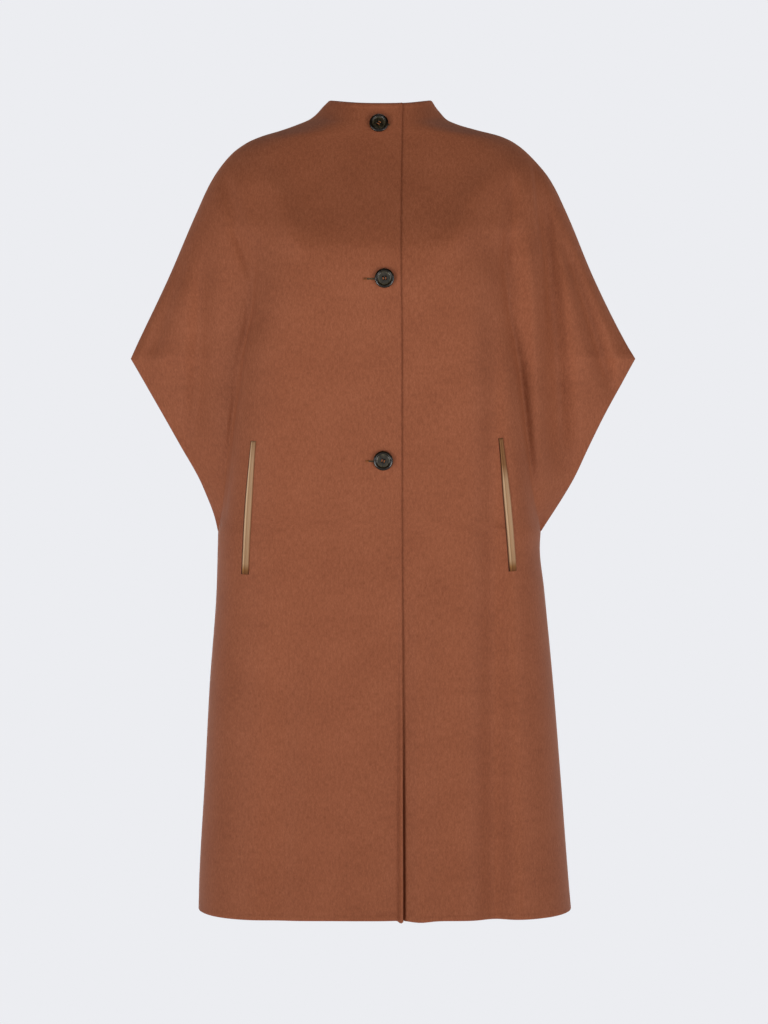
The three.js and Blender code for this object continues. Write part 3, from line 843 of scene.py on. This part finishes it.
@dataclass(frozen=True)
class Buttonhole:
    """A hand-worked buttonhole: a ring of close stitches round a slit laid with a dark strip of painted
    shade.
    """

    name: str
    start_x: float
    end_x: float
    z: float
    half_height: float = 0.95
    thread: float = 0.42
    tack: float = 3.4
    stitches: int = 74
    steps: int = 592
    around: int = 8

    def build(self) -> list[bpy.types.Object]:
        """Makes the ring of stitches, a dark strip of painted shade in the slit inside it and the bar of
        stitches at its inner end.
        """
        turn = np.linspace(0.0, 2.0 * math.pi, self.steps, endpoint=False)
        half = (self.end_x - self.start_x) / 2.0
        middle = (self.end_x + self.start_x) / 2.0
        flat = np.sign(np.cos(turn)) * np.abs(np.cos(turn)) ** 0.35
        height = self.half_height
        x = middle + half * flat
        z = self.z + height * np.sign(np.sin(turn)) * np.abs(np.sin(turn)) ** 0.35
        path = FORM.on_face(PANELS[0], x, z)
        out = FORM.outward(PANELS[0], x, z)
        ahead = np.roll(path, -1, axis=0) - np.roll(path, 1, axis=0)
        travel = np.concatenate([[0.0], np.cumsum(np.linalg.norm(np.diff(path, axis=0), axis=1))])
        beat = travel / (travel[-1] + np.linalg.norm(path[0] - path[-1])) * self.stitches
        radius = self.thread * (1.0 + 0.2 * np.cos(2.0 * math.pi * beat))
        across = np.cross(ahead, out)
        across = across / np.linalg.norm(across, axis=1, keepdims=True)
        points = tube_points(path + 0.22 * out, across, out, radius, self.around).reshape(-1, 3)
        faces = ring_faces(self.steps, self.around, True)[:, ::-1]
        ring = mesh_object(f"{self.name}_stitches", points, faces)
        # the slit: a thin strip just above the cloth that carries painted shade
        slit_x = np.linspace(self.start_x + 0.9, self.end_x - 0.9, 60)[None, :] * np.ones((5, 1))
        slit_z = self.z + np.linspace(0.75, -0.75, 5)[:, None] * np.ones_like(slit_x)
        base = FORM.on_face(PANELS[0], slit_x, slit_z)
        rise = FORM.outward(PANELS[0], slit_x, slit_z)
        uv = np.zeros(slit_x.shape + (2,))
        slit = strip_object(f"{self.name}_slit", base + 0.14 * rise, base + 0.05 * rise, uv)
        tack_x = np.linspace(self.start_x - 0.7, self.start_x + self.tack, 70)[None, :] * np.ones((14, 1))
        tack_z = self.z + np.linspace(1.45, -1.45, 14)[:, None] * np.ones_like(tack_x)
        round_off = np.sqrt(np.clip(1.0 - ((tack_z - self.z) / 1.5) ** 4, 0.0, 1.0))
        rise_out = 0.1 + round_off * (0.5 + 0.14 * np.cos(2.0 * math.pi * tack_x / 0.52))
        out = FORM.outward(PANELS[0], tack_x, tack_z)
        base = FORM.on_face(PANELS[0], tack_x, tack_z)
        uv = np.zeros(tack_x.shape + (2,))
        tack = strip_object(f"{self.name}_tack", base + rise_out[..., None] * out, base + 0.04 * out, uv)
        return [ring, slit, tack]


@dataclass(frozen=True)
class Button:
    """A four-hole horn button with a raised rim, sewn on with a few strands of thread."""

    name: str
    x: float
    z: float
    turn: float
    hole_radius: float = 1.05
    hole_out: float = 2.2
    seat: float = 0.45
    around: int = 96
    strand_radius: float = 0.26
    strand_sides: int = 8

    def _profile(self) -> tuple[Array, Array]:
        """Radii and heights from the middle of the dish, over the rim and back under the disc."""
        radius = np.array([0.0, 5.0, 7.4, 8.5, 9.2, 9.9, 10.4, 11.9, 12.3, 12.2, 11.3, 8.6, 0.0])
        height = np.array([2.7, 2.75, 2.9, 3.4, 4.1, 4.35, 4.25, 3.5, 2.5, 1.6, 0.8, 0.0, 0.0])
        step = np.hypot(np.diff(radius), np.diff(height))
        at = np.concatenate([[0.0], np.cumsum(step)])
        fine = np.linspace(0.0, at[-1], 150)
        smooth_r = steady_curve(-at, radius)(-fine)
        smooth_h = steady_curve(-at, height)(-fine)
        return np.maximum(smooth_r, 1e-3), smooth_h

    def _frame(self) -> tuple[Array, Array, Array, Array]:
        """The middle of its seat on the over front, and its directions across, up and out."""
        at_x, at_z = np.array([self.x]), np.array([self.z])
        out = FORM.outward(PANELS[0], at_x, at_z)[0]
        middle = FORM.on_face(PANELS[0], at_x, at_z)[0]
        across = np.cross(np.array([0.0, 0.0, 1.0]), out) * -1.0
        across = across / np.linalg.norm(across)
        return middle + self.seat * out, across, np.cross(out, across) * -1.0, out

    def build(self) -> list[bpy.types.Object]:
        """Makes the disc, with pits for its holes, and the threads between them."""
        origin, across, up, out = self._frame()
        radius, height = self._profile()
        turn = np.linspace(0.0, 2.0 * math.pi, self.around, endpoint=False)
        local_x = radius[:, None] * np.cos(turn)
        local_y = radius[:, None] * np.sin(turn)
        rise = np.broadcast_to(height[:, None], local_x.shape).copy()
        top = np.arange(len(radius))[:, None] < np.argmax(radius)
        corners = math.radians(self.turn) + math.pi / 2.0 * np.arange(4)
        holes = self.hole_out * np.stack([np.cos(corners), np.sin(corners)], axis=-1)
        for hole in holes:
            away = np.hypot(local_x - hole[0], local_y - hole[1])
            rise -= np.where(top, 2.3 * ease(away, self.hole_radius * 1.12, self.hole_radius * 0.8), 0.0)
        points = origin + local_x[..., None] * across + local_y[..., None] * up + rise[..., None] * out
        faces = ring_faces(len(radius), self.around, False)
        uv = np.stack([local_x, local_y], axis=-1).reshape(-1, 2) * MM
        disc = mesh_object(self.name, points.reshape(-1, 3), faces, uv)
        strands = []
        for start, end in ((holes[0], holes[1]), (holes[3], holes[2])):
            side = (end - start) / np.linalg.norm(end - start)
            side = np.array([-side[1], side[0]])
            for shift in (-0.3, 0.3):
                strands.append((start + shift * side, end + shift * side))
        along = np.linspace(0.0, 1.0, 13)
        arch = 1.6 + 1.65 * np.sin(math.pi * along) ** 0.4
        tubes = []
        for start, end in strands:
            flat = start + (end - start) * along[:, None]
            path = origin + flat[:, :1] * across + flat[:, 1:] * up + arch[:, None] * out
            ahead = np.gradient(path, axis=0)
            beside = np.cross(ahead, out)
            beside = beside / np.linalg.norm(beside, axis=1, keepdims=True)
            above = np.cross(beside, ahead)
            above = above / np.linalg.norm(above, axis=1, keepdims=True)
            radius = np.full(len(path), self.strand_radius)
            tubes.append(tube_points(path, beside, above, radius, self.strand_sides).reshape(-1, 3))
        sides = self.strand_sides
        faces = [ring_faces(len(along), sides, False, i * len(along) * sides) for i in range(len(tubes))]
        thread = mesh_object(f"{self.name}_thread", np.concatenate(tubes), np.concatenate(faces))
        return [disc, thread]


WELTS = (
    Welt("pocket_welt_right_cloth", PANELS[0], (-160.8, -410.0), (-171.5, -578.0), -1.2, 0.72),
    Welt("pocket_welt_left_cloth", PANELS[1], (151.0, -406.0), (166.5, -574.0), 1.0, 0.6),
)
BUTTONHOLES = (
    Buttonhole("buttonhole_top", -15.2, 10.8, -4.0),
    Buttonhole("buttonhole_middle", -21.8, 7.0, -206.6),
    Buttonhole("buttonhole_lower", -19.5, 7.0, -435.4),
)
BUTTONS = (
    Button("button_top_disc", -3.3, -2.6, 78.0),
    Button("button_middle_disc", 3.8, -205.8, 128.0),
    Button("button_lower_disc", 2.2, -434.8, 150.0),
)


class NodeTree:
    """Short calls for building a material's nodes."""

    def __init__(self, name: str) -> None:
        """Starts an empty material with its output and a Principled shader."""
        self.material = bpy.data.materials.new(name)
        self.material.use_nodes = True
        self.nodes = self.material.node_tree.nodes
        self.links = self.material.node_tree.links
        self.nodes.clear()
        self.output = self.nodes.new("ShaderNodeOutputMaterial")
        self.shader = self.nodes.new("ShaderNodeBsdfPrincipled")
        self.links.new(self.shader.outputs["BSDF"], self.output.inputs["Surface"])

    def add(self, kind: str, **settings: object) -> bpy.types.Node:
        """A new node with its settings; names with a capital are socket values."""
        node = self.nodes.new(kind)
        for key, value in settings.items():
            if key[0].isupper():
                node.inputs[key.replace("_", " ")].default_value = value
            else:
                setattr(node, key, value)
        return node

    def noise(self, vector: bpy.types.NodeSocket, scale: float, detail: float = 2.0) -> bpy.types.NodeSocket:
        """Noise of a scale, in features a metre, read at a vector."""
        node = self.add("ShaderNodeTexNoise", Scale=scale, Detail=detail, Roughness=0.55)
        self.links.new(vector, node.inputs["Vector"])
        return node.outputs["Fac"]

    def span(self, value: bpy.types.NodeSocket, low: float, high: float) -> bpy.types.NodeSocket:
        """Maps 0.25..0.75 of a noise onto low..high."""
        node = self.add("ShaderNodeMapRange")
        for key, number in (("From Min", 0.25), ("From Max", 0.75), ("To Min", low), ("To Max", high)):
            node.inputs[key].default_value = number
        self.links.new(value, node.inputs["Value"])
        return node.outputs["Result"]

    def ramp(self, value: bpy.types.NodeSocket, stops: Sequence[tuple]) -> bpy.types.NodeSocket:
        """A run of colours along a value; each stop is its place and its display colour."""
        node = self.add("ShaderNodeValToRGB")
        elements = node.color_ramp.elements
        elements[0].position, elements[0].color = stops[0][0], linear(*stops[0][1])
        elements[1].position, elements[1].color = stops[-1][0], linear(*stops[-1][1])
        for at, colour in stops[1:-1]:
            elements.new(at).color = linear(*colour)
        self.links.new(value, node.inputs["Fac"])
        return node.outputs["Color"]

    def math(self, operation: str, a: object, b: object) -> bpy.types.NodeSocket:
        """A sum, product or other operation on two sockets or numbers."""
        node = self.add("ShaderNodeMath", operation=operation)
        for socket, value in zip(node.inputs, (a, b)):
            if isinstance(value, (int, float)):
                socket.default_value = value
            else:
                self.links.new(value, socket)
        return node.outputs[0]


def linear(red: int, green: int, blue: int) -> tuple[float, float, float, float]:
    """Linear colour from display values of 0 to 255."""
    display = np.array([red, green, blue]) / 255.0
    straight = np.where(display <= 0.04045, display / 12.92, ((display + 0.055) / 1.055) ** 2.4)
    return (float(straight[0]), float(straight[1]), float(straight[2]), 1.0)


@dataclass(frozen=True)
class WoolFinish:
    """Brushed double-faced wool: short lying nap, a soft sheen and a faint mottle."""

    name: str = "wool_cloth"
    colour: tuple[int, int, int] = (137, 77, 49)
    shade: tuple[int, int, int] = (122, 65, 40)
    light: tuple[int, int, int] = (150, 88, 60)

    def material(self) -> bpy.types.Material:
        """Builds the material on the cloth's own layout."""
        tree = NodeTree(self.name)
        layout = tree.add("ShaderNodeUVMap", uv_map="layout")
        long_nap = tree.add("ShaderNodeMapping")
        long_nap.inputs["Scale"].default_value = (1.0, 0.35, 1.0)
        tree.links.new(layout.outputs["UV"], long_nap.inputs["Vector"])
        nap = tree.noise(long_nap.outputs["Vector"], 900.0, 3.0)
        tuft = tree.noise(long_nap.outputs["Vector"], 330.0, 2.0)
        cloud = tree.noise(layout.outputs["UV"], 18.0, 2.0)
        mix = tree.math("ADD", tree.span(nap, -0.38, 0.38), tree.span(tuft, -0.27, 0.27))
        mix = tree.math("ADD", mix, tree.span(cloud, -0.14, 0.14))
        mix = tree.math("ADD", mix, 0.5)
        tone = tree.ramp(mix, ((0.0, self.shade), (0.5, self.colour), (1.0, self.light)))
        tree.links.new(tone, tree.shader.inputs["Base Color"])
        height = tree.math("ADD", tree.math("MULTIPLY", nap, 0.6), tree.math("MULTIPLY", tuft, 1.0))
        bump = tree.add("ShaderNodeBump", Strength=0.35, Distance=0.0007)
        tree.links.new(height, bump.inputs["Height"])
        tree.links.new(bump.outputs["Normal"], tree.shader.inputs["Normal"])
        tree.shader.inputs["Roughness"].default_value = 0.7
        tree.shader.inputs["Specular IOR Level"].default_value = 0.2
        tree.shader.inputs["Sheen Weight"].default_value = 0.22
        tree.shader.inputs["Sheen Roughness"].default_value = 0.3
        tree.shader.inputs["Sheen Tint"].default_value = linear(226, 160, 124)
        return tree.material


@dataclass(frozen=True)
class WeltAndShadeFinish:
    """Tan, leather-like strip of a pocket welt, streaked lengthwise and darker at its ends, with painted
    shade in the pocket's mouth, in its fine groove and along its other long edge.
    """

    name: str
    top_shade: float
    top_tone: tuple[int, int, int]

    def material(self) -> bpy.types.Material:
        """Builds the material on the strip's own layout: U across, V from the top to the end."""
        tree = NodeTree(self.name)
        layout = tree.add("ShaderNodeUVMap", uv_map="layout")
        parts = tree.add("ShaderNodeSeparateXYZ")
        tree.links.new(layout.outputs["UV"], parts.inputs["Vector"])
        # across the strip: painted shade in the pocket's mouth up to 0.235, the tan face, lighter on its
        # rolled edge, a line of painted shade in the fine groove at 0.432, and painted shade along the other
        # long edge from 0.73
        across = tree.ramp(parts.outputs["X"], (
            (0.0, (72, 36, 18)), (0.235, (84, 44, 22)), (0.262, (166, 130, 94)), (0.33, (190, 156, 122)),
            (0.41, (184, 150, 116)), (0.432, (126, 92, 58)), (0.46, (162, 126, 92)),
            (0.66, (168, 134, 102)), (0.73, (146, 104, 70)), (0.75, (104, 62, 38)),
        ))
        along = tree.ramp(parts.outputs["Y"], (
            (0.0, self.top_tone), (self.top_shade, self.top_tone), (self.top_shade + 0.12, (250, 250, 250)),
            (0.6, (255, 255, 255)), (0.92, (240, 236, 230)), (0.965, (190, 160, 110)), (1.0, (140, 100, 52)),
        ))
        streak = tree.add("ShaderNodeMapping")
        streak.inputs["Scale"].default_value = (46.0, 7.0, 1.0)
        tree.links.new(layout.outputs["UV"], streak.inputs["Vector"])
        grain = tree.span(tree.noise(streak.outputs["Vector"], 1.0, 4.0), 0.86, 1.12)
        mixed = tree.add("ShaderNodeMix", data_type="RGBA", blend_type="MULTIPLY")
        mixed.inputs[0].default_value = 1.0
        tree.links.new(across, mixed.inputs[6])
        tree.links.new(along, mixed.inputs[7])
        toned = tree.add("ShaderNodeVectorMath", operation="SCALE")
        tree.links.new(mixed.outputs[2], toned.inputs[0])
        tree.links.new(grain, toned.inputs["Scale"])
        tree.links.new(toned.outputs["Vector"], tree.shader.inputs["Base Color"])
        tree.shader.inputs["Roughness"].default_value = 0.75
        tree.shader.inputs["Specular IOR Level"].default_value = 0.25
        return tree.material


@dataclass(frozen=True)
class HornFinish:
    """Polished dark horn: a near-black rim, a grey dish and paler streaks."""

    name: str = "horn"

    def material(self) -> bpy.types.Material:
        """Builds the material from the disc's own layout, whose length is the radius in metres."""
        tree = NodeTree(self.name)
        layout = tree.add("ShaderNodeUVMap", uv_map="layout")
        radius = tree.add("ShaderNodeVectorMath", operation="LENGTH")
        tree.links.new(layout.outputs["UV"], radius.inputs[0])
        reach = tree.math("MULTIPLY", radius.outputs["Value"], 1.0 / 0.0123)
        rings = tree.ramp(reach, (
            (0.0, (16, 13, 8)), (0.3, (24, 20, 13)), (0.55, (36, 32, 22)), (0.63, (52, 47, 34)),
            (0.69, (20, 15, 9)), (1.0, (15, 11, 6)),
        ))
        place = tree.add("ShaderNodeTexCoord")
        stretch = tree.add("ShaderNodeMapping")
        stretch.inputs["Scale"].default_value = (1.0, 1.0, 0.4)
        tree.links.new(place.outputs["Object"], stretch.inputs["Vector"])
        streak = tree.span(tree.noise(stretch.outputs["Vector"], 520.0, 4.0), 0.0, 3.2)
        toned = tree.add("ShaderNodeVectorMath", operation="SCALE")
        tree.links.new(rings, toned.inputs[0])
        tree.links.new(streak, toned.inputs["Scale"])
        tree.links.new(toned.outputs["Vector"], tree.shader.inputs["Base Color"])
        tree.shader.inputs["Roughness"].default_value = 0.2
        tree.shader.inputs["Specular IOR Level"].default_value = 0.34
        return tree.material


@dataclass(frozen=True)
class ThreadAndShadeFinish:
    """Waxed sewing thread, a little uneven in tone along its stitches; the same finish also gives the
    painted shade in the buttonhole slits.
    """

    name: str
    dark: tuple[int, int, int]
    light: tuple[int, int, int]
    scale: float = 900.0

    def material(self) -> bpy.types.Material:
        """Builds the material on Object coordinates."""
        tree = NodeTree(self.name)
        place = tree.add("ShaderNodeTexCoord")
        tone = tree.ramp(tree.span(tree.noise(place.outputs["Object"], self.scale, 2.0), 0.0, 1.0), (
            (0.0, self.dark), (1.0, self.light),
        ))
        tree.links.new(tone, tree.shader.inputs["Base Color"])
        tree.shader.inputs["Roughness"].default_value = 0.6
        return tree.material


@dataclass(frozen=True)
class PlainFinish:
    """A quiet, plain surface with a faint mottle and a glow of its own colour, for the floor."""

    name: str
    colour: tuple[int, int, int]
    roughness: float = 0.9
    glow: float = 0.0

    def material(self) -> bpy.types.Material:
        """Builds the material on Object coordinates."""
        tree = NodeTree(self.name)
        place = tree.add("ShaderNodeTexCoord")
        cloud = tree.noise(place.outputs["Object"], 3.0, 2.0)
        tone = tree.add("ShaderNodeMix", data_type="RGBA")
        tree.links.new(tree.span(cloud, 0.0, 1.0), tone.inputs[0])
        tone.inputs[6].default_value = linear(*(max(c - 2, 0) for c in self.colour))
        tone.inputs[7].default_value = linear(*self.colour)
        tree.links.new(tone.outputs[2], tree.shader.inputs["Base Color"])
        tree.shader.inputs["Roughness"].default_value = self.roughness
        tree.shader.inputs["Emission Color"].default_value = linear(*self.colour)
        tree.shader.inputs["Emission Strength"].default_value = self.glow
        return tree.material


@dataclass(frozen=True)
class Studio:
    """Pale floor, soft light and the camera at the photograph's viewing angle."""

    distance: float = 4.0
    height: float = -0.4992
    aside: float = 0.00325
    view_height: float = 1.3312
    floor_drop: float = 1.45
    backdrop: tuple[int, int, int] = (236, 237, 241)
    ceiling: tuple[int, int, int] = (16, 16, 18)
    ground: tuple[int, int, int] = (170, 171, 174)
    ground_top: float = -0.4
    wall_foot: float = -0.2
    wall_top: float = 0.17
    ceiling_start: float = 0.38
    # strength of the floor's glow, which lights the cape from below
    floor_glow: float = 0.72
    left_power: float = 66.0
    right_power: float = 62.0
    top_power: float = 18.0
    strip_power: float = 10.0
    back_power: float = 55.0

    def camera(self) -> None:
        """A level camera in front of the cape, its view as high as the photograph's."""
        data = bpy.data.cameras.new("camera")
        data.sensor_width = 36.0
        data.lens = data.sensor_width * self.distance / self.view_height
        data.clip_start, data.clip_end = 0.1, 60.0
        camera = bpy.data.objects.new("camera", data)
        camera.location = (self.aside, -self.distance, self.height)
        camera.rotation_euler = (math.pi / 2.0, 0.0, 0.0)
        bpy.context.scene.collection.objects.link(camera)
        bpy.context.scene.camera = camera

    def floor(self) -> None:
        """A plain pale floor below the hem, which also glows and so lights the cape from below."""
        size = 1600.0
        corners = np.array([[-1, -1, 0], [1, -1, 0], [1, 1, 0], [-1, 1, 0]], dtype=float) * size
        corners[:, 2] = -self.floor_drop / MM
        floor = mesh_object("floor", corners, np.array([[0, 1, 2, 3]]))
        # the floor glows: it is no lamp, but its glow lights the cape from below
        paint = PlainFinish("floor_paint", (200, 201, 204), glow=self.floor_glow).material()
        floor.data.materials.append(paint)

    def area(self, name: str, place: tuple[float, float, float], aim: tuple[float, float, float],
             size: tuple[float, float], power: float) -> None:
        """A soft box.

        Args:
            name: its name.
            place: where it stands, in metres.
            aim: the point it faces.
            size: its width and height.
            power: its power in watts.
        """
        data = bpy.data.lights.new(name, "AREA")
        data.shape = "RECTANGLE"
        data.size, data.size_y = size
        data.energy = power
        light = bpy.data.objects.new(name, data)
        light.location = place
        light.visible_camera = False
        toward = np.array(aim) - np.array(place)
        pitch = math.atan2(math.hypot(toward[0], toward[1]), -toward[2])
        light.rotation_euler = (pitch, 0.0, math.atan2(toward[0], -toward[1]) + math.pi)
        bpy.context.scene.collection.objects.link(light)

    def light(self) -> None:
        """Bright walls and floor under a dim ceiling, and soft boxes on either side and behind."""
        world = bpy.data.worlds.new("surroundings")
        world.use_nodes = True
        nodes, links = world.node_tree.nodes, world.node_tree.links
        shade = nodes["Background"]
        place = nodes.new("ShaderNodeTexCoord")
        parts = nodes.new("ShaderNodeSeparateXYZ")
        ramp = nodes.new("ShaderNodeValToRGB")
        links.new(place.outputs["Generated"], parts.inputs["Vector"])
        height = nodes.new("ShaderNodeMapRange")
        height.inputs["From Min"].default_value = -1.0
        links.new(parts.outputs["Z"], height.inputs["Value"])
        links.new(height.outputs["Result"], ramp.inputs["Fac"])
        ramp.color_ramp.interpolation = "EASE"
        elements = ramp.color_ramp.elements
        elements[0].position, elements[0].color = (1.0 + self.ground_top) / 2.0, linear(*self.ground)
        elements[1].position, elements[1].color = (1.0 + self.ceiling_start) / 2.0, linear(*self.ceiling)
        for z in (self.wall_foot, self.wall_top):
            elements.new((1.0 + z) / 2.0).color = linear(*self.backdrop)
        links.new(ramp.outputs["Color"], shade.inputs["Color"])
        bpy.context.scene.world = world
        aim = (0.0, 0.0, -0.35)
        self.area("soft_box_left", (-2.2, -2.4, -1.75), aim, (1.2, 1.6), self.left_power)
        self.area("overhead_light", (0.0, 0.9, 2.2), (0.0, 0.0, 0.0), (2.2, 1.0), self.top_power)
        self.area("soft_box_right", (2.2, -2.4, -1.75), aim, (1.2, 1.6), self.right_power)
        level = (0.0, 0.0, -0.25)
        self.area("soft_box_back", (0.0, 3.4, -0.9), aim, (2.2, 1.4), self.back_power)
        self.area("strip_left", (-2.6, -2.2, -0.25), level, (0.2, 1.1), self.strip_power)
        self.area("strip_right", (2.6, -2.2, -0.25), level, (0.2, 1.1), self.strip_power)
        bpy.context.scene.view_settings.view_transform = "Standard"
        bpy.context.scene.view_settings.look = "None"


def dress_cloth(wool: bpy.types.Material) -> None:
    """Builds the three panels and states the cloth each was cut from."""
    for panel in PANELS:
        maker = ClothPanel(panel)
        cloth = maker.build()
        cloth.data.materials.append(wool)
        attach(cloth, "root")
        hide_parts(panel.name.replace("_cloth", ""))
        width, length, area = maker.cut()
        faces = len(cloth.data.polygons)
        log.info("%s: %d faces, cut %.3f x %.3f m, %.3f m2", panel.name, faces, width, length, area)


def dress_welts() -> None:
    """Builds the two pocket welts on their panels."""
    tops = ((0.02, (222, 214, 204)), (0.2, (186, 160, 128)))
    for welt, (shade, tone) in zip(WELTS, tops):
        strip = welt.build()
        strip.data.materials.append(WeltAndShadeFinish(f"{welt.name}_tan", shade, tone).material())
        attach(strip, "root")
        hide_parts(welt.name.replace("_cloth", ""))
        log.info("%s: %d faces", welt.name, len(strip.data.polygons))


def dress_fastenings() -> None:
    """Builds the buttonholes, and the buttons with the thread that holds them."""
    worked = ThreadAndShadeFinish("buttonhole_thread", (70, 44, 14), (130, 84, 26)).material()
    # painted shade for the buttonhole slits, not a thread
    slit_shade = ThreadAndShadeFinish("slit_shadow", (26, 12, 6), (40, 20, 10)).material()
    bar = ThreadAndShadeFinish("tack_thread", (100, 46, 4), (154, 82, 12)).material()
    sewn = ThreadAndShadeFinish("button_thread", (120, 62, 24), (176, 104, 52)).material()
    horn = HornFinish().material()
    for hole in BUTTONHOLES:
        for piece, paint in zip(hole.build(), (worked, slit_shade, bar)):
            piece.data.materials.append(paint)
            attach(piece, "root")
            log.info("%s: %d faces", piece.name, len(piece.data.polygons))
    for button in BUTTONS:
        disc, thread = button.build()
        disc.data.materials.append(horn)
        thread.data.materials.append(sewn)
        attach(disc, "root")
        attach(thread, "root")
        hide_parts(button.name.replace("_disc", ""))
        log.info("%s: %d faces", button.name, len(disc.data.polygons))


def main() -> None:
    """Builds the cape's pieces in order, then the floor, the lights and the camera."""
    logging.basicConfig(level=logging.INFO, format="%(name)s: %(message)s")
    dress_cloth(WoolFinish().material())
    dress_welts()
    dress_fastenings()
    studio = Studio()
    studio.floor()
    studio.light()
    studio.camera()


if __name__ == "__main__":
    main()
